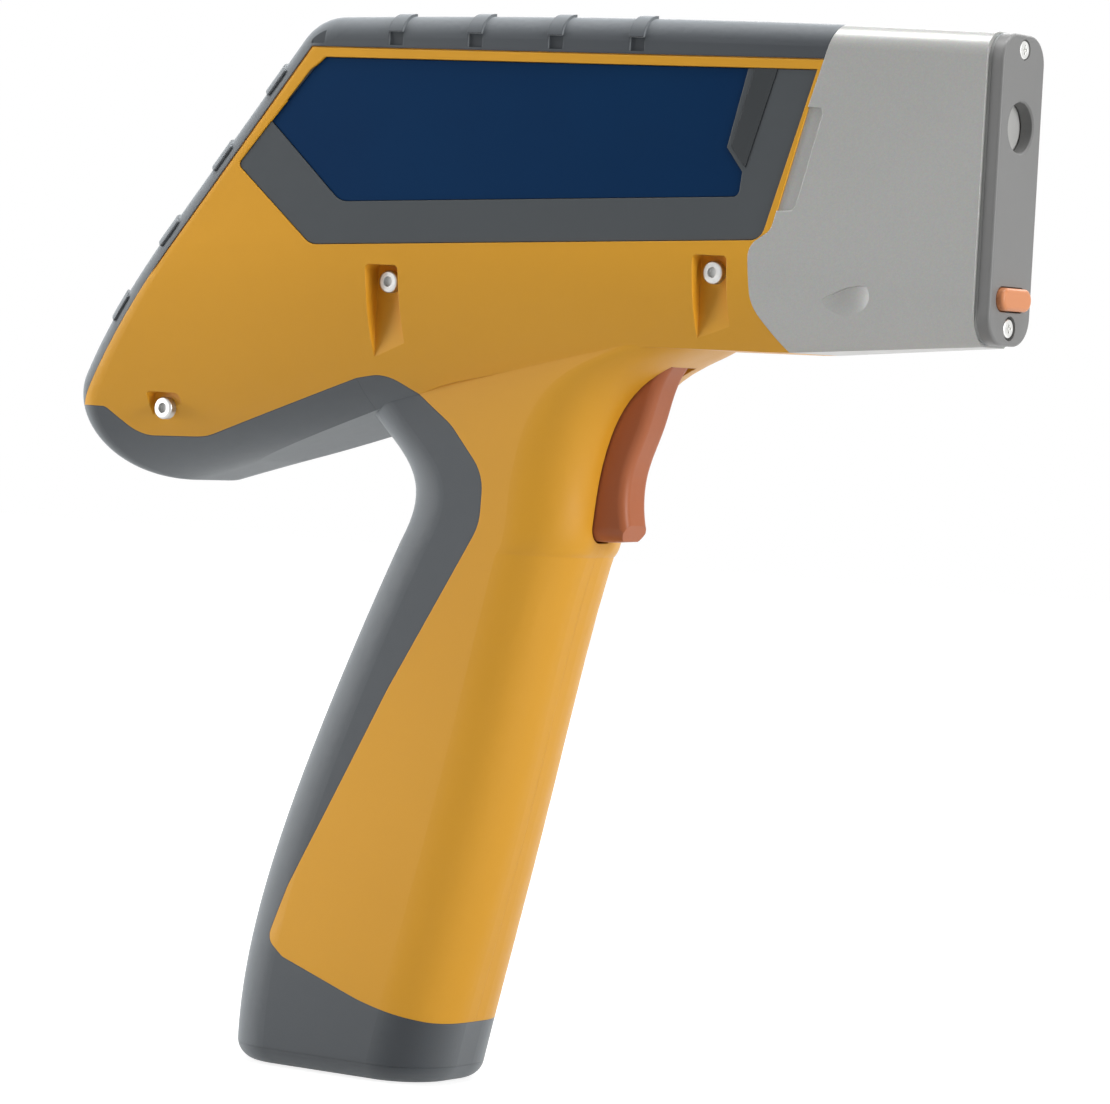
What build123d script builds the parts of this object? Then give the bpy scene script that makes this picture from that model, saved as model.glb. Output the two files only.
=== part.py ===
from build123d import *
from math import cos, radians, sin, tan
import os

os.makedirs("parts", exist_ok=True)

# Handheld X-ray fluorescence analyser, millimetres.
# +X runs out of the nose along the beam, +Z is up, the operator's left is +Y.
# The origin is the centre of the measuring window, on the outer face of the nose plate.

# ---------------------------------------------------------------- driving dimensions
# Head, side view
head_front = 12.0
head_rear = -265.0
top_front_z = 22.2
top_crown = (-92.0, 24.1)
top_rear = (-187.3, 22.6)
top_corner_radius = 14.0
display_slope = 54.0
lobe_tip_x = -288.5
lobe_radius = 18.0
underside_rise = 0.34
neck_x = -150.0
neck_radius = 40.0
belly_rear = (-95.0, -57.6)
belly_front = (-56.0, -57.3)
belly_radius = 60.0
chin_z = -52.2
chin_radius = 120.0
edge_radius = 6.0

# Head, widths: a wedge that widens from the nose to the display
nose_half_width = 10.4
flank_flare = 0.153
mid_section_x = -80.0
front_keel = (-45.0, 8.0, 8.0)
mid_keel = (-33.0, 14.4, 30.0)
rear_keel = (-45.0, 46.0, 62.0)
reach = 60.0

# Walls
rubber_depth = 2.2
shadow_gap = 0.35
shadow_depth = 0.5
wall = 3.8
nose_wall = rubber_depth
fit_gap = 0.15

# Grip, sections from the base up: height, rear, front, half width, corner radius
base_z = -251.0
grip_stations = (
    (-218.0, -212.6, -141.5, 20.5, 17.0),
    (-180.0, -201.5, -132.2, 20.0, 17.0),
    (-145.0, -187.0, -124.6, 20.0, 16.5),
    (-112.0, -171.8, -116.2, 20.5, 17.0),
)
grip_base = (-215.6, -149.3, 20.5, 17.0)
neck_stations = (
    (-101.0, -167.2, -113.4, 20.8, 17.0),
    (-91.0, -169.4, -112.2, 21.1, 17.0),
    (-81.0, -178.6, -109.6, 21.4, 17.0),
    (-71.0, -187.0, -104.2, 21.4, 17.0),
    (-63.0, -191.0, -94.0, 20.8, 17.0),
    (-54.0, -192.0, -78.0, 19.4, 17.0),
)
base_edge_radius = 5.5

# Seam between the nose shell and the housing, side view
seam = (
    (-38.5, 40.0),
    (-49.5, 3.0),
    (-57.5, -27.5),
    (-63.3, -31.5),
    (-62.5, -46.0),
    (-55.0, -56.5),
    (-47.0, -70.0),
)
seam_rounds = ((2, 4.0), (3, 5.0), (4, 12.0), (5, 8.0))
spigot_length = 4.0

# Bumper over the top and round the display
bumper_skirt_z = 14.9
bumper_frame_depth = 5.3
bumper_tail_z = -80.5
rib_width = 4.0
rib_height = 0.7
top_rib_pitch = 22.2
top_rib_first_x = -95.8
top_rib_count = 5
slope_rib_pitch = 24.7
slope_rib_first = 19.4
slope_rib_count = 4
notch_height = 3.4
notch_depth = 0.7

# Nose plate and what it carries
plate_thickness = 3.4
plate_half_width = 10.3
plate_top = 22.6
plate_bottom = -52.9
plate_corner = 7.2
gasket_thickness = 0.8
window_radius = 6.15
film_radius = 7.3
film_thickness = 0.4
plate_screw_z = (18.8, -48.6)
screw_head_radius = 2.4
screw_shank_radius = 1.2
button_z = -41.6
button_width = 14.4
button_height = 5.6
button_proud = 2.0
button_flange = 1.3

# Housing screws: axis x, z, and the depth of the head's seat under the flank
screw_sites = {
    "front": (-73.3, -38.4, -17.8),
    "middle": (-163.4, -44.4, -29.6),
    "rear": (-231.0, -80.2, -34.0),
}
pocket_width = 9.2
pocket_height = 26.0
pocket_rim = 2.2
boss_radius = 4.0
shank_radius = 1.5
head_radius = 2.9
head_height = 2.2
screw_end_y = 16.0

# Side bezel, label and indicator
bezel_depth = 2.0
bezel_recess = 0.3
label_depth = 1.1
label_recess = 0.6
bezel_outline = (
    (-47.6, 12.2),
    (-182.3, 12.2),
    (-186.6, 8.6),
    (-206.0, -16.1),
    (-184.0, -35.9),
    (-60.0, -30.0),
)
bezel_rounds = ((3, 1.5), (4, 5.0), (5, 4.0))
label_outline = (
    (-65.8, 12.2),
    (-182.3, 12.2),
    (-185.6, 9.2),
    (-197.0, -4.6),
    (-176.2, -24.6),
    (-66.6, -19.6),
    (-66.0, -13.4),
    (-70.4, -7.5),
)
label_rounds = ((4, 5.0), (5, 2.0))
lens_outline = (
    (-64.0, 12.2),
    (-58.0, 12.2),
    (-65.2, -12.4),
    (-69.2, -7.2),
)

# Display and keys, measured down the slope from its top corner
panel_top = 9.0
panel_bottom = 101.0
panel_top_half = 31.0
panel_bottom_half = 38.0
panel_corner = 6.0
panel_recess = 1.5
glass_size = (56.0, 66.0)
glass_centre = 45.0
glass_recess = 0.6
glass_thickness = 1.2
lcd_size = (52.0, 62.0)
key_line = 89.0
key_pitch = 24.0
key_radius = 5.5
key_proud = 1.0
key_flange = 1.2
key_flange_thickness = 1.0
key_gap = 0.3
stem_radius = 1.6
pad_radius = 9.0
pad_thickness = 1.6
pad_well = 1.7
gimbal_radius = 5.0
gimbal_bore = 3.2
gimbal_thickness = 1.6
gimbal_depth = 4.3
gimbal_pin_radius = 0.5
running_gap = 0.05
slope_wall = 2.4
board_depth = 8.7
board_thickness = 1.6

# Trigger
trigger_pivot = (-99.0, -55.0)
trigger_half_width = 5.4
trigger_foot_z = -107.7
trigger_foot_corner = 4.0
trigger_slot_gap = 0.5
cheek_thickness = 2.5
pin_radius = 1.5

# Battery and its cover
cover_thickness = 4.4
cover_travel = 12.0
floor_thickness = 3.0
hook_length = 6.0
hook_rear_ends = (-171.0, -190.0)
hook_stem = (12.6, 14.0)
hook_reach = 16.0
hook_gap = 0.3
battery_size = (43.0, 28.0, 106.0)
battery_tilt = 15.4
battery_centre = (-163.6, -180.5)
bay_size = (46.0, 29.0)

# Measuring head: distances run back from the window along each axis
tube_angle = 38.0
tube_radius = 4.5
tube_start = 33.0
tube_end = 68.0
block_end = 28.8
wheel_distance = 29.4
wheel_offset = 7.1
wheel_radius = 9.6
wheel_thickness = 1.2
wheel_filters = 6
filter_radius = 1.7
shaft_radius = 0.8
motor_radius = 2.4
motor_start = 31.6
motor_end = 47.0
clamp_start = 39.0
clamp_end = 45.0
detector_angle = -15.0
snout_radius = 3.5
snout_start = 14.0
can_radius = 5.5
can_start = 22.0
can_end = 38.0

# Chassis and boards
chassis_y = 7.0
chassis_thickness = 2.0
main_board_y = 12.0
main_board_feet = ((-80.0, -24.0), (-80.0, 7.0), (-166.0, 7.0), (-168.0, -24.0))
signal_board_y = 2.4
signal_board_feet = ((-65.0, 10.0), (-65.0, -8.0), (-117.0, 10.0), (-117.0, -8.0))


# ---------------------------------------------------------------- helpers
def half_width(x):
    return nose_half_width - flank_flare * x


def slope_x(z):
    return top_rear[0] - (top_rear[1] - z) / tan(radians(display_slope))


def slope_plane(down, depth):
    """Plane on the display slope: local x to the operator's right, local y up the slope."""
    run = cos(radians(display_slope))
    drop = sin(radians(display_slope))
    x = top_rear[0] - run * down + drop * depth
    z = top_rear[1] - drop * down - run * depth
    return Plane(origin=(x, 0, z), x_dir=(0, -1, 0), z_dir=(-drop, 0, run))


def cross_plane(x, y=0.0, z=0.0):
    """Plane across the beam, facing forward: local x is +Y, local y is +Z."""
    return Plane(origin=(x, y, z), x_dir=(0, 1, 0), z_dir=(1, 0, 0))


def side_plane(x, y, z):
    """Plane facing the operator's left: its normal is +Y."""
    return Plane(origin=(x, y, z), x_dir=(1, 0, 0), z_dir=(0, 1, 0))


def beam_plane(angle, distance, offset=0.0):
    """Plane facing the window from a point behind it; angle is below the beam axis."""
    back = Vector(-cos(radians(angle)), 0, -sin(radians(angle)))
    across = Vector(-sin(radians(angle)), 0, cos(radians(angle)))
    return Plane(origin=back * distance + across * offset, x_dir=(0, 1, 0), z_dir=-back)


def battery_plane(along):
    """Plane across the grip axis; along is measured up the axis from the battery's centre."""
    lean = radians(battery_tilt)
    x = battery_centre[0] + sin(lean) * along
    z = battery_centre[1] + cos(lean) * along
    return Plane(origin=(x, 0, z), x_dir=(cos(lean), 0, -sin(lean)), z_dir=(sin(lean), 0, cos(lean)))


def side_prism(points, near=-reach, far=reach, rounds=(), grow=0.0):
    """Solid of a side-view outline between two Y positions."""
    with BuildSketch(Plane.XZ.offset(-far)) as outline:
        with BuildLine():
            Polyline(*points, close=True)
        make_face()
        for index, radius in rounds:
            x, z = points[index]
            fillet(outline.vertices().sort_by_distance((x, z, 0))[0], radius)
        if grow:
            offset(amount=grow, kind=Kind.INTERSECTION)
    with BuildPart() as prism:
        extrude(outline.sketch, amount=far - near)
    return prism.part


def flank(outer_depth, inner_depth, side, low=-100.0, high=40.0):
    """Slab under one flank between two depths; side is -1 for the right, 1 for the left."""
    with BuildSketch(Plane.XY.offset(low)) as plan:
        with BuildLine():
            Polyline(
                (head_front, side * (half_width(head_front) - inner_depth)),
                (head_rear, side * (half_width(head_rear) - inner_depth)),
                (head_rear, side * (half_width(head_rear) - outer_depth)),
                (head_front, side * (half_width(head_front) - outer_depth)),
                close=True,
            )
        make_face()
    with BuildPart() as slab:
        extrude(plan.sketch, amount=high - low)
    return slab.part


def common(form, zone):
    with BuildPart() as region:
        add(form)
        add(zone, mode=Mode.INTERSECT)
    return region.part


def less(form, *cuts):
    with BuildPart() as rest:
        add(form)
        for cut in cuts:
            add(cut, mode=Mode.SUBTRACT)
    return rest.part


def merged(*solids):
    with BuildPart() as whole:
        for solid in solids:
            add(solid)
    return whole.part


def cylinder_between(plane, radius, start, end, centre=(0, 0)):
    """Cylinder along a plane's normal between two distances from it."""
    with BuildSketch(plane.offset(start)) as face:
        with Locations(centre):
            Circle(radius)
    with BuildPart() as rod:
        extrude(face.sketch, amount=end - start)
    return rod.part


def block_between(plane, size, start, end, centre=(0, 0), corner=0.0):
    """Rectangular block along a plane's normal between two distances from it."""
    with BuildSketch(plane.offset(start)) as face:
        with Locations(centre):
            if corner:
                RectangleRounded(*size, corner)
            else:
                Rectangle(*size)
    with BuildPart() as block:
        extrude(face.sketch, amount=end - start)
    return block.part


# ---------------------------------------------------------------- outer form
def head_outline(inset):
    tip_z = top_rear[1] - (top_rear[0] - lobe_tip_x) * tan(radians(display_slope))
    tip = (lobe_tip_x, tip_z)
    neck = (neck_x, tip_z + (neck_x - lobe_tip_x) * underside_rise)
    front = (head_front, top_front_z)
    chin = (head_front, chin_z)
    rounds = (
        (tip, lobe_radius),
        (top_rear, top_corner_radius),
        (neck, neck_radius),
        (belly_rear, belly_radius),
        (belly_front, chin_radius),
    )
    with BuildSketch(Plane.XZ.offset(-reach)) as outline:
        with BuildLine():
            ThreePointArc(front, top_crown, top_rear)
            Polyline(top_rear, tip, neck, belly_rear, belly_front, chin, front)
        make_face()
        for (x, z), radius in rounds:
            fillet(outline.vertices().sort_by_distance((x, z, 0))[0], radius)
        if inset:
            offset(amount=-inset, kind=Kind.INTERSECTION)
    return outline.sketch


def wall_section(x, keel, inset):
    """Cross-section of the head: straight flanks that turn in on an elliptical keel."""
    side_z = keel[0]
    width = keel[1] - inset
    depth = keel[2] - inset
    edge = half_width(x) - inset
    with BuildSketch(cross_plane(x)) as section:
        with BuildLine():
            Line((edge - width, side_z - depth), (width - edge, side_z - depth))
            EllipticalCenterArc((width - edge, side_z), width, depth, start_angle=270, arc_size=-90)
            Polyline((-edge, side_z), (-edge, 40), (edge, 40), (edge, side_z))
            EllipticalCenterArc((edge - width, side_z), width, depth, start_angle=0, arc_size=-90)
        make_face()
    return section.sketch


def grip_section(z, rear, front, half, corner, inset):
    with BuildSketch(Plane.XY.offset(z)) as section:
        with Locations(((rear + front) / 2, 0)):
            RectangleRounded(front - rear - 2 * inset, 2 * (half - inset), corner - inset)
    return section.sketch


def body_form(inset):
    """Whole outer form of head and grip, drawn in from the surface by an inset."""
    stations = ((base_z + inset, *grip_base),) + grip_stations
    neck = (grip_stations[-1],) + neck_stations
    walls = loft(
        [
            wall_section(head_front, front_keel, inset),
            wall_section(mid_section_x, mid_keel, inset),
            wall_section(head_rear, rear_keel, inset),
        ]
    )
    with BuildPart() as form:
        extrude(head_outline(inset), amount=2 * reach)
        add(walls, mode=Mode.INTERSECT)
        crown = (top_crown[0], half_width(top_crown[0]), top_crown[1])
        fillet(form.edges().sort_by_distance(crown)[0], edge_radius - inset)
        loft([grip_section(*station, inset) for station in stations])
        loft([grip_section(*station, inset) for station in neck])
        if inset < base_edge_radius:
            base = form.faces().sort_by(Axis.Z)[0]
            fillet(base.edges(), base_edge_radius - inset)
    return form.part


outer = body_form(0)
bed = body_form(rubber_depth)
cavity = body_form(wall)
skin = less(outer, bed)


# ---------------------------------------------------------------- zones in side view
def nose_zone(shift=0.0):
    """Everything ahead of the nose seam."""
    points = [(x + shift, z) for x, z in seam] + [(40.0, -70.0), (40.0, 40.0)]
    return side_prism(points, rounds=seam_rounds)


def seam_x(z):
    (x1, z1), (x2, z2) = seam[0], seam[1]
    return x1 + (x2 - x1) * (z - z1) / (z2 - z1)


def slope_zone(depth, tail_z):
    """Region within a depth of the display slope, down to the tail."""
    shift = depth / sin(radians(display_slope))
    return side_prism(
        (
            (slope_x(40.0) + shift, 40.0),
            (slope_x(tail_z) + shift, tail_z),
            (slope_x(tail_z) - 40.0, tail_z),
            (slope_x(40.0) - 90.0, 40.0),
        )
    )


def skirt_zone(bottom_z):
    """Region above the bumper's skirt line, behind the nose seam."""
    rear = slope_x(bottom_z) - 40.0
    return side_prism(((seam_x(bottom_z), bottom_z), (rear, bottom_z), (rear, 40.0), (seam_x(40.0), 40.0)))


lobe_seam = (
    (-174.5, -69.4),
    (-224.0, -87.2),
    (-241.5, -87.8),
    (-248.5, -80.6),
    (-275.0, -80.6),
)
crease = (-172.0, -84.0)
crease_foot = (-185.0, -110.0)


def lobe_zone():
    points = lobe_seam + ((-275.0, -110.0), crease_foot, crease)
    return side_prism(points, rounds=((1, 18.0), (2, 8.0), (3, 2.0)))


grip_seam = (
    (-174.5, -69.4),
    (-166.0, -67.8),
    (-148.5, -80.0),
    (-138.0, -92.0),
    (-138.6, -105.0),
    (-165.0, -149.0),
    (-193.6, -203.0),
    (-199.5, -217.5),
    (-194.0, -221.8),
    (-168.0, -230.6),
    (-146.5, -235.2),
    (-130.0, -231.8),
    (-110.0, -226.0),
)


def grip_zone():
    behind = ((-110.0, -270.0), (-240.0, -270.0), (-240.0, -110.0))
    bends = ((1, 10.0), (2, 14.0), (3, 12.0), (4, 14.0))
    foot = ((7, 3.5), (8, 3.0), (9, 60.0), (10, 20.0), (11, 30.0))
    return side_prism(grip_seam + behind + (crease_foot, crease), rounds=bends + foot)


def base_slice():
    plane = Plane.XY.offset(base_z - 10.0)
    return block_between(plane, (200.0, 2 * reach), 0, 10.0 + cover_thickness, centre=(-182.0, 0))


# ---------------------------------------------------------------- rubber parts
def slope_opening(top, bottom, grow=0.0):
    """Rounded trapezoid through the display slope between two depths."""
    high = -panel_top + grow
    low = -panel_bottom - grow
    narrow = panel_top_half + grow
    wide = panel_bottom_half + grow
    with BuildSketch(slope_plane(0, bottom)) as opening:
        with BuildLine():
            Polyline((-narrow, high), (narrow, high), (wide, low), (-wide, low), close=True)
        make_face()
        fillet(opening.vertices(), panel_corner + grow)
    with BuildPart() as prism:
        extrude(opening.sketch, amount=bottom - top)
    return prism.part


def rib_zones():
    """Short bands over the bumper's top edges and down the edges of the display slope."""
    bands = []
    for index in range(top_rib_count - 1):
        x = top_rib_first_x - index * top_rib_pitch
        left, right = x - rib_width / 2, x + rib_width / 2
        bands.append(side_prism(((left, 19.0), (right, 19.0), (right, 40.0), (left, 40.0))))
    for index in range(slope_rib_count):
        down = slope_rib_first + index * slope_rib_pitch
        band = slope_plane(down, 3.0)
        bands.append(block_between(band, (2 * reach, 2 * rib_width), 0, 8.0))
    edges = merged(flank(-3.0, 6.0, -1), flank(-3.0, 6.0, 1))
    return common(merged(*bands), edges)


def skirt_notches():
    """Square recesses in the lower half of the bumper's skirt, under each rib."""
    low = bumper_skirt_z + 0.7
    notches = []
    for index in range(top_rib_count):
        x = top_rib_first_x - index * top_rib_pitch
        left, right = x - rib_width / 2, x + rib_width / 2
        high = low + notch_height
        notches.append(side_prism(((left, low), (right, low), (right, high), (left, high))))
    faces = merged(flank(-3.0, notch_depth, -1), flank(-3.0, notch_depth, 1))
    return common(merged(*notches), faces)


def make_head_bumper():
    proud = body_form(-rib_height)
    ribbed = merged(outer, common(proud, rib_zones()))
    skirt = common(less(ribbed, bed), skirt_zone(bumper_skirt_z))
    frame = common(ribbed, slope_zone(bumper_frame_depth, bumper_tail_z))
    opening = slope_opening(-10.0, bumper_frame_depth + 1.0)
    notches = skirt_notches()
    with BuildPart() as head_bumper:
        add(skirt)
        add(frame)
        add(opening, mode=Mode.SUBTRACT)
        add(notches, mode=Mode.SUBTRACT)
    return head_bumper


def make_lobe_cover():
    patch = common(skin, lobe_zone())
    frame = slope_zone(bumper_frame_depth, bumper_tail_z)
    with BuildPart() as lobe_cover:
        add(patch)
        add(frame, mode=Mode.SUBTRACT)
    return lobe_cover


def make_grip_overmould():
    patch = common(skin, grip_zone())
    base = base_slice()
    with BuildPart() as grip_overmould:
        add(patch)
        add(base, mode=Mode.SUBTRACT)
    return grip_overmould


# ---------------------------------------------------------------- housing
def trigger_box():
    """Block round the trigger's pocket, before the pocket is cut from it."""
    half = trigger_half_width + trigger_slot_gap + cheek_thickness
    low = trigger_foot_z - trigger_slot_gap - cheek_thickness
    corners = ((-87.0, -47.5), (-136.5, -47.5), (-136.5, low), (-87.0, low))
    return side_prism(corners, near=-half, far=half)


def trigger_gauge(gap=0.0):
    """Bar along the nose axis with the trigger's front view: upright sides and a rounded foot."""
    width = 2 * (trigger_half_width + gap)
    foot = trigger_foot_z - gap
    top = -40.0
    size = (width, top - foot)
    corner = trigger_foot_corner + gap
    return block_between(cross_plane(-140.0), size, 0, 70.0, centre=(0, (top + foot) / 2), corner=corner)


def trigger_slot():
    mouth = (
        (-92.6, -50.0),
        (-134.0, -50.0),
        (-134.0, -115.0),
        (-80.0, -115.0),
        (-80.0, -80.0),
        (-92.6, -64.0),
    )
    return common(side_prism(mouth), trigger_gauge(trigger_slot_gap))


def bay_ribs():
    """Walls across the grip that hold the battery, closed by a bulkhead at the top."""
    ribs = []
    for along in (-42.0, -14.0, 14.0, 40.0):
        ribs.append(block_between(battery_plane(along), (90.0, 2 * reach), 0, 2.0))
    opened = less(merged(*ribs), battery_bay())
    bulkhead = block_between(battery_plane(60.0), (90.0, 2 * reach), 0, 2.0)
    grip_only = side_prism(((-100.0, -116.0), (-240.0, -116.0), (-240.0, -240.0), (-100.0, -240.0)))
    return common(merged(opened, bulkhead), grip_only)


def battery_bay():
    return block_between(battery_plane(0), bay_size, -90.0, 56.0, corner=4.0)


def battery_bay_mouth():
    """The bay's way out through the floor."""
    return block_between(battery_plane(0), bay_size, -90.0, -50.0, corner=4.0)


def base_floor():
    """Floor of the grip that the battery cover hooks onto."""
    floor_z = base_z + cover_thickness
    plane = Plane.XY.offset(floor_z)
    slab = block_between(plane, (200.0, 2 * reach), 0, floor_thickness, centre=(-182.0, 0))
    notches = []
    for hook in hook_rear_ends:
        start = hook - cover_travel - hook_gap
        length = hook_length + 2 * hook_gap
        notch = block_between(
            Plane.XY.offset(floor_z - 1.0),
            (length, 2 * (hook_reach + hook_gap)),
            0,
            floor_thickness + 2.0,
            centre=(start + length / 2, 0),
        )
        notches.append(notch)
    return less(slab, battery_bay(), *notches)


def screw_pocket(x, z, seat_y, grow=0.0, floor=0.0):
    """Channel in the right flank: flat ceiling over the head, runs out down the belly."""
    top = z + head_radius + 1.3 + grow
    low = z - pocket_height
    half = pocket_width / 2 + grow
    corners = ((x - half, top), (x + half, top), (x + half, low), (x - half, low))
    return side_prism(corners, near=-reach, far=seat_y + floor, rounds=((0, 1.2 + grow), (1, 1.2 + grow)))


def key_holes():
    """Openings in the wall behind the control panel."""
    lcd_hole = (lcd_size[0] + 2 * fit_gap, lcd_size[1] + 2 * fit_gap)
    deep = -bumper_frame_depth - slope_wall - 1.0
    plane = slope_plane(0, 0)
    lcd = block_between(plane, lcd_hole, deep, -bumper_frame_depth + 1.0, centre=(0, -glass_centre))
    holes = [lcd]
    for u, radius in ((-key_pitch, stem_radius + key_gap), (key_pitch, stem_radius + key_gap), (0, 6.2)):
        holes.append(cylinder_between(plane, radius, deep, -bumper_frame_depth + 1.0, centre=(u, -key_line)))
    return merged(*holes)


def board_pads():
    """Seats on the inner face of the slope wall that carry the display and keypad boards."""
    plane = slope_plane(0, board_depth)
    height = board_depth - bumper_frame_depth - slope_wall
    pads = []
    for u in (-1, 1):
        for down in (glass_centre - 34.5, glass_centre + 34.5):
            pads.append(cylinder_between(plane, 2.6, 0, height + 0.5, centre=(u * 20.0, -down)))
        pads.append(cylinder_between(plane, 2.2, 0, height + 0.5, centre=(u * 14.5, -key_line)))
    return merged(*pads)


def bezel_pockets():
    pocket = side_prism(bezel_outline, rounds=bezel_rounds)
    slabs = merged(flank(-3.0, bezel_depth, -1), flank(-3.0, bezel_depth, 1))
    windows = side_prism(((-69.0, -7.0), (-64.0, -7.0), (-61.0, 8.0), (-66.0, 8.0)))
    through = merged(flank(-3.0, wall + 1.0, -1), flank(-3.0, wall + 1.0, 1))
    return merged(common(pocket, slabs), common(windows, through))


def shadow_line():
    """Fine groove in the housing all along the bumper's edge."""
    shift = (bumper_frame_depth + shadow_gap) / sin(radians(display_slope))
    skirt = side_prism(
        (
            (seam_x(bumper_skirt_z), bumper_skirt_z + 1.0),
            (seam_x(bumper_skirt_z), bumper_skirt_z - shadow_gap),
            (slope_x(bumper_skirt_z) + shift, bumper_skirt_z - shadow_gap),
            (slope_x(bumper_tail_z) + shift, bumper_tail_z),
            (slope_x(bumper_tail_z), bumper_tail_z),
            (slope_x(bumper_skirt_z), bumper_skirt_z + 1.0),
        )
    )
    return common(skirt, merged(flank(-3.0, shadow_depth, -1), flank(-3.0, shadow_depth, 1)))


def make_shell():
    """Both housing halves as one closed moulding, before it is parted down the middle."""
    hollow = less(cavity, slope_zone(bumper_frame_depth + slope_wall, -130.0))
    collar = less(nose_zone(), nose_zone(spigot_length))
    spigot = common(less(body_form(nose_wall + fit_gap), cavity), collar)
    covers = common(skin, merged(skirt_zone(bumper_skirt_z), lobe_zone(), grip_zone()))
    inside = common(merged(trigger_box(), bay_ribs(), base_floor()), bed)
    frame = slope_zone(bumper_frame_depth, bumper_tail_z)
    with BuildPart() as shell:
        add(outer)
        for cut in (nose_zone(), covers, frame, hollow, base_slice()):
            add(cut, mode=Mode.SUBTRACT)
        add(spigot)
        add(inside)
        add(board_pads())
        for cut in (trigger_slot(), battery_bay_mouth(), pin_bore()):
            add(cut, mode=Mode.SUBTRACT)
        for cut in (bezel_pockets(), shadow_line(), key_holes()):
            add(cut, mode=Mode.SUBTRACT)
    return shell.part


def pin_bore(clearance=0.0):
    x, z = trigger_pivot
    half = trigger_half_width + trigger_slot_gap + cheek_thickness - 0.4
    return cylinder_between(side_plane(x, 0, z), pin_radius + clearance, -half, half)


def half_space(side):
    y = side * reach
    with BuildPart() as half:
        with Locations((-120.0, y / 2, -100.0)):
            Box(400.0, reach, 400.0)
    return half.part


def boss(x, z, start, end):
    """Screw boss across the body, with its clearance or thread bore."""
    return cylinder_between(side_plane(x, 0, z), boss_radius, start, end)


def make_housing_right(shell):
    pads = []
    pockets = []
    bores = []
    for x, z, seat_y in screw_sites.values():
        pads.append(screw_pocket(x, z, seat_y, grow=pocket_rim, floor=pocket_rim))
        pads.append(boss(x, z, seat_y, chassis_y))
        pockets.append(screw_pocket(x, z, seat_y))
        bores.append(cylinder_between(side_plane(x, 0, z), shank_radius + fit_gap, -reach, reach))
    solid_pads = common(merged(*pads), bed)
    with BuildPart() as housing_right:
        add(shell)
        add(half_space(-1), mode=Mode.INTERSECT)
        add(solid_pads)
        for cut in pockets + bores:
            add(cut, mode=Mode.SUBTRACT)
    return housing_right


def make_housing_left(shell):
    bosses = []
    bores = []
    for x, z, seat_y in screw_sites.values():
        bosses.append(boss(x, z, chassis_y + chassis_thickness, reach))
        bores.append(cylinder_between(side_plane(x, 0, z), shank_radius, 0, screw_end_y + 0.5))
    solid_bosses = common(merged(*bosses), bed)
    with BuildPart() as housing_left:
        add(shell)
        add(half_space(1), mode=Mode.INTERSECT)
        add(solid_bosses)
        for cut in bores:
            add(cut, mode=Mode.SUBTRACT)
    return housing_left


def make_housing_screw(x, z, seat_y):
    plane = side_plane(x, 0, z)
    socket = cylinder_between(plane, 1.3, seat_y - head_height, seat_y - head_height + 1.2)
    with BuildPart() as screw:
        add(cylinder_between(plane, head_radius, seat_y - head_height, seat_y))
        rim = screw.edges().sort_by(Axis.Y)[0]
        fillet(rim, 0.6)
        add(cylinder_between(plane, shank_radius, seat_y, screw_end_y))
        add(socket, mode=Mode.SUBTRACT)
    return screw


# ---------------------------------------------------------------- nose
def nose_outline(plane, shrink, thickness):
    """Rounded tall plate across the nose, centred on the plate's middle height."""
    height = plate_top - plate_bottom - 2 * shrink
    width = 2 * (plate_half_width - shrink)
    middle = (plate_top + plate_bottom) / 2
    corner = plate_corner - shrink
    return block_between(plane, (width, height), 0, thickness, centre=(0, middle), corner=corner)


def finger_recess():
    """Shallow leaf-shaped hollows low on both sides of the nose."""
    leaves = []
    for side in (-1, 1):
        x = -34.8
        y = side * (half_width(x) + 18.6)
        with BuildPart() as leaf:
            with Locations(Location((x, y, -45.0), (0, 8, side * 9.0))):
                Sphere(20.0)
        leaves.append(leaf.part)
    leaf_points = ((-51.0, -47.6), (-34.0, -39.0), (-18.0, -43.4), (-38.0, -50.0))
    band = side_prism(leaf_points, rounds=((1, 16.0), (3, 14.0)))
    return common(merged(*leaves), band)


def seam_step():
    """Lower lip of the nose shell where it meets the side panels."""
    lip = (
        (-46.0, 2.8),
        (-45.6, 1.4),
        (-51.3, -21.3),
        (-52.4, -22.5),
        (-66.0, -22.9),
        (-66.0, 3.7),
    )
    zone = side_prism(lip, rounds=((1, 0.8), (2, 1.0)))
    return common(zone, merged(flank(-3.0, 0.6, -1), flank(-3.0, 0.6, 1)))


def button_guide():
    """Boss behind the front wall that guides the proximity button."""
    plane = cross_plane(0)
    back = -plate_thickness - gasket_thickness
    return block_between(plane, (22.0, 12.6), back - 7.8, back - 2.0, centre=(0, button_z), corner=2.0)


def ahead_of(x):
    """Everything in front of an upright plane across the nose."""
    return side_prism(((x, -80.0), (40.0, -80.0), (40.0, 60.0), (x, 60.0)))


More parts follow.
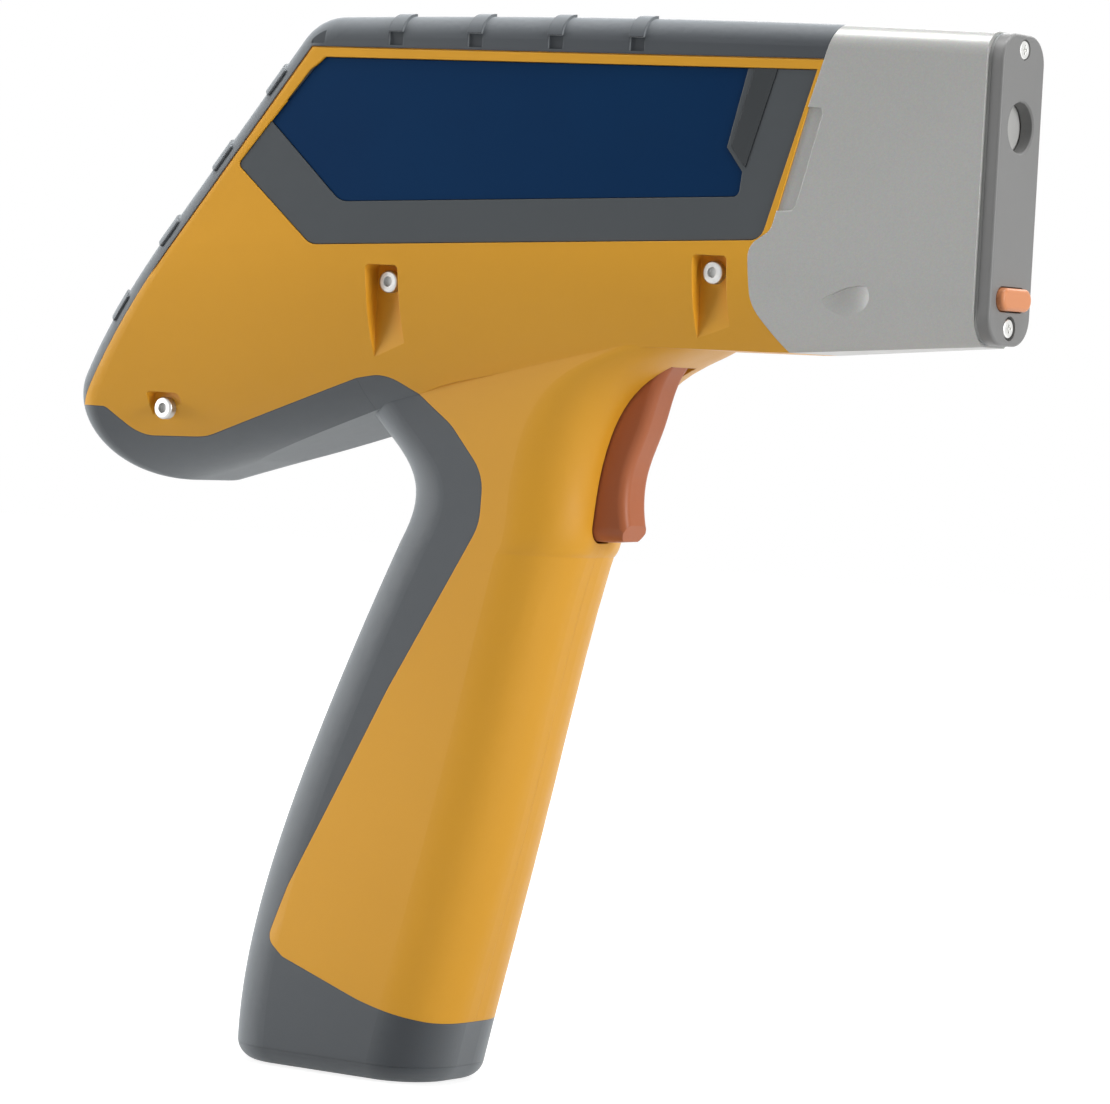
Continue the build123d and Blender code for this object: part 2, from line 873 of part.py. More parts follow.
def make_nose_shell():
    back = -plate_thickness - gasket_thickness
    front_wall = 3.0
    plane = cross_plane(0)
    hollow = less(bed, ahead_of(back - front_wall))
    trim = ahead_of(back)
    bosses = [button_guide()]
    cuts = [cylinder_between(plane, window_radius, -20.0, 0)]
    for z in plate_screw_z:
        bosses.append(cylinder_between(plane, 3.2, back - 9.0, back - 2.0, centre=(0, z)))
        cuts.append(cylinder_between(plane, screw_shank_radius, back - 8.4, 0, centre=(0, z)))
    pocket = (button_width + 2 * button_flange + 0.6, button_height + 2 * button_flange + 0.6)
    cuts.append(block_between(plane, pocket, back - 5.6, 0, centre=(0, button_z), corner=3.6))
    cuts.append(cylinder_between(plane, stem_radius + key_gap, -20.0, 0, centre=(0, button_z)))
    inner = common(merged(*bosses), bed)
    with BuildPart() as nose_shell:
        add(outer)
        add(nose_zone(), mode=Mode.INTERSECT)
        for cut in (trim, hollow, seam_step(), finger_recess()):
            add(cut, mode=Mode.SUBTRACT)
        add(inner)
        for cut in cuts:
            add(cut, mode=Mode.SUBTRACT)
    return nose_shell


def make_nose_gasket():
    plane = cross_plane(0)
    back = -plate_thickness - gasket_thickness
    slot = (button_width + 0.6, button_height + 0.6)
    cuts = [cylinder_between(plane, film_radius + fit_gap, back - 1.0, 0)]
    cuts.append(block_between(plane, slot, back - 1.0, 0, centre=(0, button_z), corner=slot[1] / 2 - 0.01))
    for z in plate_screw_z:
        cuts.append(cylinder_between(plane, screw_shank_radius + 0.2, back - 1.0, 0, centre=(0, z)))
    with BuildPart() as nose_gasket:
        add(nose_outline(plane.offset(back), 0.0, gasket_thickness))
        for cut in cuts:
            add(cut, mode=Mode.SUBTRACT)
    return nose_gasket


def make_nose_plate():
    plane = cross_plane(0)
    slot = (button_width + 0.6, button_height + 0.6)
    cuts = [cylinder_between(plane, window_radius, -5.0, 1.0)]
    cuts.append(block_between(plane, slot, -5.0, 1.0, centre=(0, button_z), corner=slot[1] / 2 - 0.01))
    for z, clearance in zip(plate_screw_z, (0.1, 0.6)):
        cuts.append(cylinder_between(plane, screw_shank_radius + 0.2, -5.0, 1.0, centre=(0, z)))
        cuts.append(cylinder_between(plane, screw_head_radius + clearance, -1.6, 1.0, centre=(0, z)))
    with BuildPart() as nose_plate:
        add(nose_outline(plane.offset(-plate_thickness), 0.0, plate_thickness))
        front = nose_plate.faces().sort_by(Axis.X)[-1]
        fillet(front.edges(), 0.8)
        for cut in cuts:
            add(cut, mode=Mode.SUBTRACT)
        circles = nose_plate.edges().filter_by(GeomType.CIRCLE)
        bore = circles.filter_by(lambda edge: edge.radius == window_radius)
        chamfer(bore.sort_by(Axis.X)[-1], 0.4)
    return nose_plate


def make_window_film():
    back = -plate_thickness - gasket_thickness
    with BuildPart() as window_film:
        add(cylinder_between(cross_plane(0), film_radius, back, back + film_thickness))
    return window_film


def make_plate_screw(z):
    plane = cross_plane(0)
    cross = merged(
        block_between(plane, (2.4, 0.6), -0.7, 0.2, centre=(0, z)),
        block_between(plane, (0.6, 2.4), -0.7, 0.2, centre=(0, z)),
    )
    with BuildPart() as screw:
        add(cylinder_between(plane, screw_head_radius, -1.6, -0.1, centre=(0, z)))
        rim = screw.edges().sort_by(Axis.X)[-1]
        fillet(rim, 0.5)
        add(cylinder_between(plane, screw_shank_radius, -12.0, -1.6, centre=(0, z)))
        add(cross, mode=Mode.SUBTRACT)
    return screw


def make_proximity_button():
    plane = cross_plane(0)
    back = -plate_thickness - gasket_thickness
    flange = (button_width + 2 * button_flange, button_height + 2 * button_flange)
    face = (button_width, button_height)
    rounded = button_height / 2 - 0.01
    with BuildPart() as button:
        add(block_between(plane, face, back - 1.0, button_proud, centre=(0, button_z), corner=rounded))
        front = button.faces().sort_by(Axis.X)[-1]
        fillet(front.edges(), 1.0)
        add(block_between(plane, flange, back - 1.0, back, centre=(0, button_z), corner=3.3))
        add(cylinder_between(plane, stem_radius, back - 5.5, back - 1.0, centre=(0, button_z)))
    return button


def make_proximity_spring():
    """Bowed leaf, drawn flattened as it is with the button fully pressed."""
    floor = -plate_thickness - gasket_thickness - 5.6
    crown = floor + 2.3
    with BuildSketch(Plane.XY.offset(button_z - 2.6)) as bow:
        with BuildLine():
            ThreePointArc((floor, -7.4), (crown - 0.3, 0), (floor, 7.4))
            Line((floor, 7.4), (floor, 7.8))
            ThreePointArc((floor, 7.8), (crown, 0), (floor, -7.8))
            Line((floor, -7.8), (floor, -7.4))
        make_face()
    hole = cylinder_between(cross_plane(0), stem_radius + key_gap, -20.0, 0, centre=(0, button_z))
    with BuildPart() as spring:
        extrude(bow.sketch, amount=5.2)
        add(hole, mode=Mode.SUBTRACT)
    return spring


def make_proximity_switch():
    plane = cross_plane(0)
    back = -plate_thickness - gasket_thickness - 7.8
    with BuildPart() as switch:
        add(block_between(plane, (12.8, 5.8), back - 6.0, back, centre=(0, button_z)))
        add(cylinder_between(plane, 0.9, back, back + 0.2, centre=(0, button_z)))
        for u in (-5.0, 0.0, 5.0):
            add(block_between(plane, (0.6, 2.0), back - 9.0, back - 6.0, centre=(u, button_z)))
    return switch


# ---------------------------------------------------------------- side panels
def panel_slab(outline, rounds, face_depth, back_depth, side, grow):
    slab = flank(face_depth, back_depth, side)
    return common(side_prism(outline, rounds=rounds, grow=grow), slab)


def make_side_bezel(side):
    cuts = (
        panel_slab(label_outline, label_rounds, -3.0, label_depth, side, 0.0),
        panel_slab(lens_outline, (), -3.0, bezel_depth + 1.0, side, 0.0),
    )
    with BuildPart() as side_bezel:
        add(panel_slab(bezel_outline, bezel_rounds, bezel_recess, bezel_depth, side, -fit_gap))
        for cut in cuts:
            add(cut, mode=Mode.SUBTRACT)
    return side_bezel


def make_side_label(side):
    with BuildPart() as side_label:
        add(panel_slab(label_outline, label_rounds, label_recess, label_depth, side, -fit_gap))
    return side_label


def make_indicator_lens(side):
    with BuildPart() as lens:
        add(panel_slab(lens_outline, (), 0.1, bezel_depth, side, -fit_gap / 2))
    return lens


def make_indicator_board(side):
    """Narrow board with two lamps that shine through the wall into the lens."""
    board = ((-72.5, -12.5), (-62.0, -12.5), (-57.0, 12.5), (-70.0, 12.5))
    lamps = (
        ((-67.4, -5.0), (-64.8, -5.0), (-64.8, -2.6), (-67.4, -2.6)),
        ((-65.6, 3.6), (-63.0, 3.6), (-63.0, 6.0), (-65.6, 6.0)),
    )
    with BuildPart() as indicator_board:
        add(panel_slab(board, (), wall, wall + 1.2, side, 0.0))
        for lamp in lamps:
            add(panel_slab(lamp, (), wall - 1.3, wall, side, 0.0))
    return indicator_board


# ---------------------------------------------------------------- display and keys
def make_control_panel():
    plane = slope_plane(0, 0)
    glass_pocket = (glass_size[0] + 2 * fit_gap, glass_size[1] + 2 * fit_gap)
    ledge = panel_recess + glass_recess + glass_thickness
    key_shelf = panel_recess + 2.0
    centre = (0, -glass_centre)
    cuts = [block_between(plane, glass_pocket, -ledge, 0, centre=centre, corner=3.0)]
    view = (lcd_size[0] - 3.0, lcd_size[1] - 3.0)
    cuts.append(block_between(plane, view, -9.0, 0, centre=centre, corner=1.5))
    for u in (-key_pitch, key_pitch):
        key = (u, -key_line)
        cuts.append(cylinder_between(plane, key_radius + key_gap, -9.0, 0, centre=key))
        cuts.append(cylinder_between(plane, key_radius + key_flange + key_gap, -9.0, -key_shelf, centre=key))
    pad = (0, -key_line)
    cuts.append(cylinder_between(plane, pad_radius + 0.5, -panel_recess - pad_well, 0, centre=pad))
    cuts.append(cylinder_between(plane, gimbal_radius + 0.5, -9.0, 0, centre=pad))
    pin = cylinder_between(gimbal_plane("across"), gimbal_pin_radius + running_gap, -6.6, 6.6)
    slot = block_between(plane, (13.2, 2 * gimbal_pin_radius + 0.1), -9.0, -gimbal_depth, centre=pad)
    with BuildPart() as control_panel:
        add(slope_opening(panel_recess, bumper_frame_depth, grow=-fit_gap))
        for cut in cuts + [pin, slot]:
            add(cut, mode=Mode.SUBTRACT)
    return control_panel


def gimbal_plane(direction):
    """Plane through the pad's centre of tilt, facing across or up the slope."""
    flat = slope_plane(key_line, gimbal_depth)
    if direction == "across":
        return Plane(origin=flat.origin, x_dir=flat.y_dir, z_dir=flat.x_dir)
    return Plane(origin=flat.origin, x_dir=flat.x_dir, z_dir=flat.y_dir)


def make_display_glass():
    plane = slope_plane(0, 0)
    front = -panel_recess - glass_recess
    back = front - glass_thickness
    with BuildPart() as glass:
        add(block_between(plane, glass_size, back, front, centre=(0, -glass_centre), corner=2.8))
    return glass


def make_display_module():
    plane = slope_plane(0, 0)
    window = (lcd_size[0] - 3.4, lcd_size[1] - 3.4)
    glass_back = panel_recess + glass_recess + glass_thickness
    centre = (0, -glass_centre)
    with BuildPart() as module:
        add(block_between(plane, lcd_size, -board_depth, -bumper_frame_depth, centre=centre))
        add(block_between(plane, window, -bumper_frame_depth, -glass_back - 0.2, centre=centre, corner=1.3))
    return module


def make_display_board():
    plane = slope_plane(0, 0)
    back = -board_depth - board_thickness
    with BuildPart() as board:
        add(block_between(plane, (56.0, 74.0), back, -board_depth, centre=(0, -glass_centre), corner=2.0))
        add(block_between(plane, (22.0, 5.0), back - 2.0, back, centre=(0, -glass_centre - 26.0)))
        add(block_between(plane, (12.0, 12.0), back - 1.4, back, centre=(-12.0, -glass_centre + 8.0)))
        add(block_between(plane, (8.0, 8.0), back - 1.2, back, centre=(10.0, -glass_centre + 10.0)))
    return board


def make_key(side):
    plane = slope_plane(0, 0)
    top = panel_recess - key_proud
    shelf = panel_recess + 2.0
    flange = -shelf - key_flange_thickness
    centre = (side * key_pitch, -key_line)
    with BuildPart() as key:
        add(cylinder_between(plane, key_radius, -shelf, -top, centre=centre))
        crown = key.faces().sort_by(Axis(plane.origin, plane.z_dir))[-1]
        fillet(crown.edges(), 0.7)
        add(cylinder_between(plane, key_radius + key_flange, flange, -shelf, centre=centre))
        add(cylinder_between(plane, stem_radius, -7.1, flange, centre=centre))
    return key


def make_nav_pad():
    plane = slope_plane(0, 0)
    top = panel_recess - key_proud
    centre = (0, -key_line)
    dish = cylinder_between(plane, 3.4, -top - 0.5, -top + 1.0, centre=centre)
    with BuildPart() as pad:
        add(cylinder_between(plane, pad_radius, -top - pad_thickness, -top, centre=centre))
        crown = pad.faces().sort_by(Axis(plane.origin, plane.z_dir))[-1]
        fillet(crown.edges(), 0.8)
        add(dish, mode=Mode.SUBTRACT)
        add(cylinder_between(plane, 1.9, -7.0, -top - pad_thickness, centre=centre))
        add(cylinder_between(plane, 1.2, -8.3, -7.0, centre=centre))
        add(cylinder_between(gimbal_plane("along"), gimbal_pin_radius, -4.4, 4.4))
    return pad


def make_nav_gimbal():
    plane = slope_plane(key_line, gimbal_depth)
    half = gimbal_thickness / 2
    bore = cylinder_between(plane, gimbal_bore, -3.0, 3.0)
    seats = cylinder_between(gimbal_plane("along"), gimbal_pin_radius + running_gap, -6.0, 6.0)
    with BuildPart() as gimbal:
        add(cylinder_between(plane, gimbal_radius, -half, half))
        add(bore, mode=Mode.SUBTRACT)
        add(seats, mode=Mode.SUBTRACT)
        for start in (-6.4, 4.0):
            add(cylinder_between(gimbal_plane("across"), gimbal_pin_radius, start, start + 2.4))
    return gimbal


def make_keypad_board():
    plane = slope_plane(0, 0)
    back = -board_depth - board_thickness
    socket = cylinder_between(plane, 1.9, back - 1.0, -7.0, centre=(0, -key_line))
    with BuildPart() as board:
        add(block_between(plane, (62.0, 13.0), back, -board_depth, centre=(0, -key_line - 0.9), corner=1.5))
        for u in (-key_pitch, key_pitch):
            add(cylinder_between(plane, 2.6, -board_depth, -8.0, centre=(u, -key_line)))
        add(block_between(plane, (7.0, 7.0), -board_depth, -7.9, centre=(0, -key_line)))
        add(block_between(plane, (14.0, 4.0), back - 2.0, back, centre=(16.0, -key_line - 1.0)))
        add(socket, mode=Mode.SUBTRACT)
    return board


# ---------------------------------------------------------------- trigger
def make_trigger():
    x, z = trigger_pivot
    front = [
        (-93.2, -61.7),
        (-96.4, -66.9),
        (-99.7, -77.5),
        (-102.4, -84.6),
        (-104.1, -90.0),
        (-104.7, -96.7),
        (-103.9, -103.0),
    ]
    back = [
        (-105.8, -107.2),
        (-110.4, trigger_foot_z),
        (-117.2, trigger_foot_z),
        (-119.2, -97.0),
        (-116.4, -84.0),
        (-110.4, -70.0),
        (-105.4, -58.0),
        (-103.0, -51.6),
        (-95.6, -51.0),
        (-93.3, -56.0),
        (-93.2, -61.7),
    ]
    with BuildSketch(Plane.XZ.offset(-trigger_half_width)) as profile:
        with BuildLine():
            Spline(*front)
            Polyline(front[-1], *back)
        make_face()
        for index, radius in ((1, 2.5), (2, 2.0), (7, 2.5), (8, 2.5)):
            px, pz = back[index]
            fillet(profile.vertices().sort_by_distance((px, pz, 0))[0], radius)
    bore = pin_bore(running_gap)
    with BuildPart() as trigger:
        extrude(profile.sketch, amount=2 * trigger_half_width)
        curved = trigger.edges().filter_by(GeomType.BSPLINE)
        fillet(curved, 2.4)
        add(trigger_gauge(), mode=Mode.INTERSECT)
        add(bore, mode=Mode.SUBTRACT)
    return trigger


def make_trigger_pin():
    with BuildPart() as pin:
        add(pin_bore())
    return pin


def make_trigger_spring():
    """Leaf spring, drawn where it lies with the trigger fully pulled."""
    leaf = (
        (-134.0, -60.0),
        (-133.5, -60.0),
        (-133.5, -71.8),
        (-118.9, -77.8),
        (-119.1, -78.3),
        (-134.0, -72.2),
    )
    with BuildPart() as spring:
        add(side_prism(leaf, near=-2.5, far=2.5))
    return spring


def make_trigger_switch():
    body = ((-134.0, -104.0), (-126.2, -104.0), (-126.2, -84.0), (-134.0, -84.0))
    plunger = ((-126.2, -97.0), (-124.2, -97.0), (-124.2, -94.0), (-126.2, -94.0))
    with BuildPart() as switch:
        add(side_prism(body, near=-3.2, far=3.2))
        add(side_prism(plunger, near=-1.2, far=1.2))
    return switch


# ---------------------------------------------------------------- battery and cover
def make_battery_pack():
    width, depth, length = battery_size
    middle = length / 2
    plane = battery_plane(0)
    recess = block_between(plane, (20.0, 8.0), middle - 1.2, middle + 1.0, corner=1.0)
    with BuildPart() as pack:
        add(block_between(plane, (width, depth), -middle, middle, corner=5.0))
        fillet(pack.faces().sort_by(Axis(plane.origin, plane.z_dir))[0].edges(), 1.5)
        for along in (-14.0, 14.0):
            ring = block_between(plane, (width + 2.0, depth + 2.0), along, along + 1.0)
            core = block_between(plane, (width - 0.8, depth - 0.8), along - 1.0, along + 2.0, corner=4.6)
            add(less(ring, core), mode=Mode.SUBTRACT)
        add(recess, mode=Mode.SUBTRACT)
    return pack


def make_battery_contacts():
    middle = battery_size[2] / 2
    plane = battery_plane(0)
    with BuildPart() as contacts:
        add(block_between(plane, (26.0, 16.0), middle, 60.0, corner=2.0))
        for u in (-6.0, -2.0, 2.0, 6.0):
            add(block_between(plane, (1.2, 4.0), middle - 1.0, middle, centre=(u, 0)))
    return contacts


def battery_floor_z(x):
    """Height of the battery's lower end above a point of the cover."""
    lean = tan(radians(battery_tilt))
    middle = battery_plane(-battery_size[2] / 2).origin
    return middle.Z - (x - middle.X) * lean


def bay_rear_x(z):
    """Where the rear wall of the battery bay crosses a height."""
    lean = radians(battery_tilt)
    middle = battery_centre[0] + (z - battery_centre[1]) * tan(lean)
    return middle - bay_size[0] / 2 / cos(lean)


def make_battery_cover():
    top = base_z + cover_thickness
    rib_front = -160.0
    rib_rear = bay_rear_x(top + floor_thickness) + cover_travel + hook_gap
    ribs = []
    for y in (-6.0, 6.0):
        rib = (
            (rib_rear, top - 0.5),
            (rib_front, top - 0.5),
            (rib_front, battery_floor_z(rib_front) - hook_gap),
            (rib_rear, battery_floor_z(rib_rear) - hook_gap),
        )
        ribs.append(side_prism(rib, near=y - 1.0, far=y + 1.0))
    hooks = []
    for start in hook_rear_ends:
        for side in (-1, 1):
            stem_middle = side * sum(hook_stem) / 2
            stem_width = hook_stem[1] - hook_stem[0]
            tip_middle = side * (hook_stem[0] + hook_reach) / 2
            tip_width = hook_reach - hook_stem[0]
            plane = Plane.XY.offset(top)
            x = start + hook_length / 2
            rise = floor_thickness + hook_gap
            stem = (hook_length, stem_width)
            tip = (hook_length, tip_width)
            hooks.append(block_between(plane, stem, -0.5, rise + 1.4, centre=(x, stem_middle)))
            hooks.append(block_between(plane, tip, rise, rise + 1.4, centre=(x, tip_middle)))
    grooves = []
    for index in range(5):
        x = -206.0 + index * 3.2
        grooves.append(block_between(Plane.XY.offset(base_z), (1.4, 24.0), -1.0, 0.8, centre=(x, 0)))
    plate = common(outer, base_slice())
    with BuildPart() as cover:
        add(plate)
        for piece in ribs + hooks:
            add(piece)
        for groove in grooves:
            add(groove, mode=Mode.SUBTRACT)
    return cover


# ---------------------------------------------------------------- measuring head
def make_collimator_block():
    beam = beam_plane(tube_angle, 0)
    fluorescence = beam_plane(detector_angle, 0)
    front = -plate_thickness - gasket_thickness - 3.0
    corners = [(front, 9.0), (front, -9.0)]
    for angle, distance, offset in ((tube_angle, block_end, -5.5), (tube_angle, block_end, 6.0)):
        point = beam_plane(angle, distance, offset).origin
        corners.append((point.X, point.Z))
    for angle, distance, offset in ((detector_angle, can_start, -6.6), (detector_angle, can_start, 6.6)):
        point = beam_plane(angle, distance, offset).origin
        corners.append((point.X, point.Z))
    bores = (
        cylinder_between(beam, 2.4, -40.0, 2.0),
        cylinder_between(fluorescence, snout_radius + running_gap, -40.0, -snout_start),
        cylinder_between(fluorescence, 2.6, -snout_start, 2.0),
    )
    with BuildPart() as block:
        add(side_prism(corners, near=-8.0, far=chassis_y))
        for bore in bores:
            add(bore, mode=Mode.SUBTRACT)
    return block


def make_xray_tube():
    beam = beam_plane(tube_angle, 0)
    with BuildPart() as tube:
        add(cylinder_between(beam, tube_radius, -tube_end, -tube_start - 2.0))
        add(cylinder_between(beam, 3.4, -tube_start - 2.0, -tube_start))
        add(cylinder_between(beam, 2.6, -tube_end - 3.0, -tube_end))
    return tube


def make_tube_clamp():
    """Block on the chassis that grips the tube and the filter motor."""
    beam = beam_plane(tube_angle, 0)
    top, low = 6.6, -wheel_offset - motor_radius - 2.2
    size = (6.6 + chassis_y, top - low)
    centre = ((chassis_y - 6.6) / 2, (top + low) / 2)
    back, front = -clamp_end - 1.0, -clamp_start + 1.0
    with BuildPart() as clamp:
        add(block_between(beam, size, -clamp_end, -clamp_start, centre=centre))
        add(cylinder_between(beam, tube_radius, back, front), mode=Mode.SUBTRACT)
        motor = cylinder_between(beam, motor_radius, back, front, centre=(0, -wheel_offset))
        add(motor, mode=Mode.SUBTRACT)
    return clamp


def make_filter_wheel():
    beam = beam_plane(tube_angle, wheel_distance + wheel_thickness, -wheel_offset)
    with BuildPart() as wheel:
        add(cylinder_between(beam, wheel_radius, 0, wheel_thickness))
        add(cylinder_between(beam, 2.0, -0.6, wheel_thickness))
        add(cylinder_between(beam, shaft_radius + running_gap, -2.0, 3.0), mode=Mode.SUBTRACT)
        for index in range(wheel_filters):
            angle = radians(90 + index * 360 / wheel_filters)
            centre = (wheel_offset * cos(angle), wheel_offset * sin(angle))
            add(cylinder_between(beam, filter_radius, -1.0, 2.0, centre=centre), mode=Mode.SUBTRACT)
    return wheel


def make_filter_motor():
    beam = beam_plane(tube_angle, 0)
    centre = (0, -wheel_offset)
    with BuildPart() as motor:
        add(cylinder_between(beam, motor_radius, -motor_end, -motor_start, centre=centre))
        add(cylinder_between(beam, shaft_radius, -motor_start, -wheel_distance + 0.3, centre=centre))
    return motor


def make_detector_module():
    axis = beam_plane(detector_angle, 0)
    with BuildPart() as detector:
        add(cylinder_between(axis, snout_radius, -can_start, -snout_start))
        add(cylinder_between(axis, can_radius, -can_end, -can_start))
        add(block_between(axis, (11.0, 12.0), -can_end - 4.0, -can_end, corner=0.0))
        add(block_between(axis, (chassis_y - 4.0, 8.0), -36.0, -28.0, centre=((chassis_y + 4.0) / 2, 0)))
    return detector


def make_high_voltage_supply():
    corners = ((-88.0, -42.0), (-146.0, -42.0), (-146.0, -17.0), (-88.0, -17.0))
    lid = ((-90.0, -40.0), (-144.0, -40.0), (-144.0, -19.0), (-90.0, -19.0))
    with BuildPart() as supply:
        add(side_prism(corners, near=-15.0, far=chassis_y))
        add(side_prism(lid, near=-15.8, far=-15.0))
        add(cylinder_between(cross_plane(-88.0), 2.8, 0, 3.0, centre=(0, -38.4)))
    return supply


def make_high_voltage_cable():
    start = beam_plane(tube_angle, tube_end + 3.0).origin
    with BuildPart() as cable:
        with BuildLine():
            path = Spline(
                (start.X, 0, start.Z),
                (-73.0, 0, -46.6),
                (-80.6, 0, -42.6),
                (-85.0, 0, -38.4),
                tangents=((-cos(radians(tube_angle)), 0, -sin(radians(tube_angle))), (-1, 0, 0)),
            )
        with BuildSketch(Plane(origin=path @ 0, z_dir=path % 0)):
            Circle(1.5)
        sweep()
    return cable


# ---------------------------------------------------------------- chassis and boards
def make_internal_chassis():
    """Plate down the length of the head, clamped between the screw bosses."""
    outline = (
        (-25.6, 15.0),
        (-25.6, -36.0),
        (-34.0, -44.5),
        (-82.0, -45.6),
        (-150.0, -45.6),
        (-172.0, -56.0),
        (-232.0, -86.0),
        (-238.0, -82.0),
        (-238.0, -72.0),
        (-193.0, -16.0),
        (-172.0, 16.0),
    )
    far = chassis_y + chassis_thickness
    rounds = ((2, 5.0), (4, 8.0), (6, 4.0), (7, 4.0), (8, 8.0), (10, 6.0))
    front_window = ((-46.0, -4.0), (-46.0, -18.0), (-58.0, -26.0), (-58.0, -4.0))
    middle_window = ((-124.0, 8.0), (-124.0, -12.0), (-150.0, -12.0), (-150.0, 8.0))
    rear_window = ((-184.0, -24.0), (-178.0, -48.0), (-214.0, -66.0), (-220.0, -62.0))
    windows = (
        side_prism(front_window, rounds=((0, 2.0), (3, 2.0))),
        side_prism(middle_window, rounds=((0, 3.0), (3, 3.0))),
        side_prism(rear_window, rounds=((0, 4.0), (1, 4.0))),
    )
    with BuildPart() as chassis:
        add(side_prism(outline, near=chassis_y, far=far, rounds=rounds))
        for window in windows:
            add(window, mode=Mode.SUBTRACT)
        for x, z in main_board_feet:
            add(cylinder_between(side_plane(x, 0, z), 2.4, far, main_board_y))
        for x, z in signal_board_feet:
            add(cylinder_between(side_plane(x, 0, z), 2.4, signal_board_y + board_thickness, chassis_y))
        for x, z, seat_y in screw_sites.values():
            add(cylinder_between(side_plane(x, 0, z), shank_radius + fit_gap, 0, 20.0), mode=Mode.SUBTRACT)
    return chassis


def make_main_board():
    board = ((-76.0, -28.0), (-176.0, -28.0), (-170.0, 11.0), (-76.0, 11.0))
    top = main_board_y + board_thickness
    parts = (
        (side_plane(-100.0, 0, -8.0), (18.0, 18.0), 1.6),
        (side_plane(-124.0, 0, 2.0), (12.0, 8.0), 1.2),
        (side_plane(-124.0, 0, -14.0), (14.0, 10.0), 2.0),
        (side_plane(-164.0, 0, -20.0), (10.0, 12.0), 4.5),
        (side_plane(-84.0, 0, 2.0), (7.0, 12.0), 4.0),
    )
    with BuildPart() as main_board:
        add(side_prism(board, near=main_board_y, far=top))
        for plane, size, height in parts:
            add(block_between(plane, size, top, top + height))
    return main_board


def make_signal_board():
    board = ((-62.0, -11.0), (-120.0, -11.0), (-120.0, 13.0), (-62.0, 13.0))
    parts = (
        ((-84.0, 1.0), (14.0, 14.0), 2.0),
        ((-106.0, 2.0), (12.0, 9.0), 1.6),
        ((-67.0, 1.0), (5.0, 12.0), 3.0),
    )
    with BuildPart() as signal_board:
        add(side_prism(board, near=signal_board_y, far=signal_board_y + board_thickness))
        for (x, z), size, height in parts:
            add(block_between(side_plane(x, 0, z), size, signal_board_y - height, signal_board_y))
    return signal_board


def make_beeper():
    top = main_board_y + board_thickness
    plane = side_plane(-146.0, 0, -6.0)
    hole = cylinder_between(plane, 1.2, top + 2.0, top + 6.0)
    with BuildPart() as beeper:
        add(cylinder_between(plane, 6.0, top, top + 4.5))
        add(hole, mode=Mode.SUBTRACT)
    return beeper


# ---------------------------------------------------------------- build
shell = make_shell()
pieces = {
    "head_bumper": make_head_bumper(),
    "lobe_cover": make_lobe_cover(),
    "grip_overmould": make_grip_overmould(),
    "housing_right": make_housing_right(shell),
    "housing_left": make_housing_left(shell),
    "nose_shell": make_nose_shell(),
    "nose_gasket": make_nose_gasket(),
    "nose_plate": make_nose_plate(),
    "window_film": make_window_film(),
    "plate_screw_upper": make_plate_screw(plate_screw_z[0]),
    "plate_screw_lower": make_plate_screw(plate_screw_z[1]),
    "proximity_button": make_proximity_button(),
    "proximity_spring": make_proximity_spring(),
    "proximity_switch": make_proximity_switch(),
    "side_bezel_right": make_side_bezel(-1),
    "side_bezel_left": make_side_bezel(1),
    "side_label_right": make_side_label(-1),
    "side_label_left": make_side_label(1),
    "indicator_lens_right": make_indicator_lens(-1),
    "indicator_lens_left": make_indicator_lens(1),
    "indicator_board_right": make_indicator_board(-1),
    "indicator_board_left": make_indicator_board(1),
    "control_panel": make_control_panel(),
    "display_glass": make_display_glass(),
    "display_module": make_display_module(),
    "display_board": make_display_board(),
    "power_button": make_key(-1),
    "enter_button": make_key(1),
    "nav_pad": make_nav_pad(),
    "nav_gimbal": make_nav_gimbal(),
    "keypad_board": make_keypad_board(),
    "trigger": make_trigger(),
    "trigger_pin": make_trigger_pin(),
    "trigger_spring": make_trigger_spring(),
    "trigger_switch": make_trigger_switch(),
    "battery_pack": make_battery_pack(),
    "battery_contacts": make_battery_contacts(),
    "battery_cover": make_battery_cover(),
    "collimator_block": make_collimator_block(),
    "xray_tube": make_xray_tube(),
    "tube_clamp": make_tube_clamp(),
    "filter_wheel": make_filter_wheel(),
    "filter_motor": make_filter_motor(),
    "detector_module": make_detector_module(),
    "high_voltage_supply": make_high_voltage_supply(),
    "high_voltage_cable": make_high_voltage_cable(),
    "internal_chassis": make_internal_chassis(),
    "main_board": make_main_board(),
    "signal_board": make_signal_board(),
    "beeper": make_beeper(),
}
for name, screw_site in screw_sites.items():
    pieces[f"housing_screw_{name}"] = make_housing_screw(*screw_site)

for label, piece in pieces.items():
    piece.part.label = label
    export_step(piece.part, f"parts/{label}.step")
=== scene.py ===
from math import radians

import bpy
from mathutils import Matrix, Vector


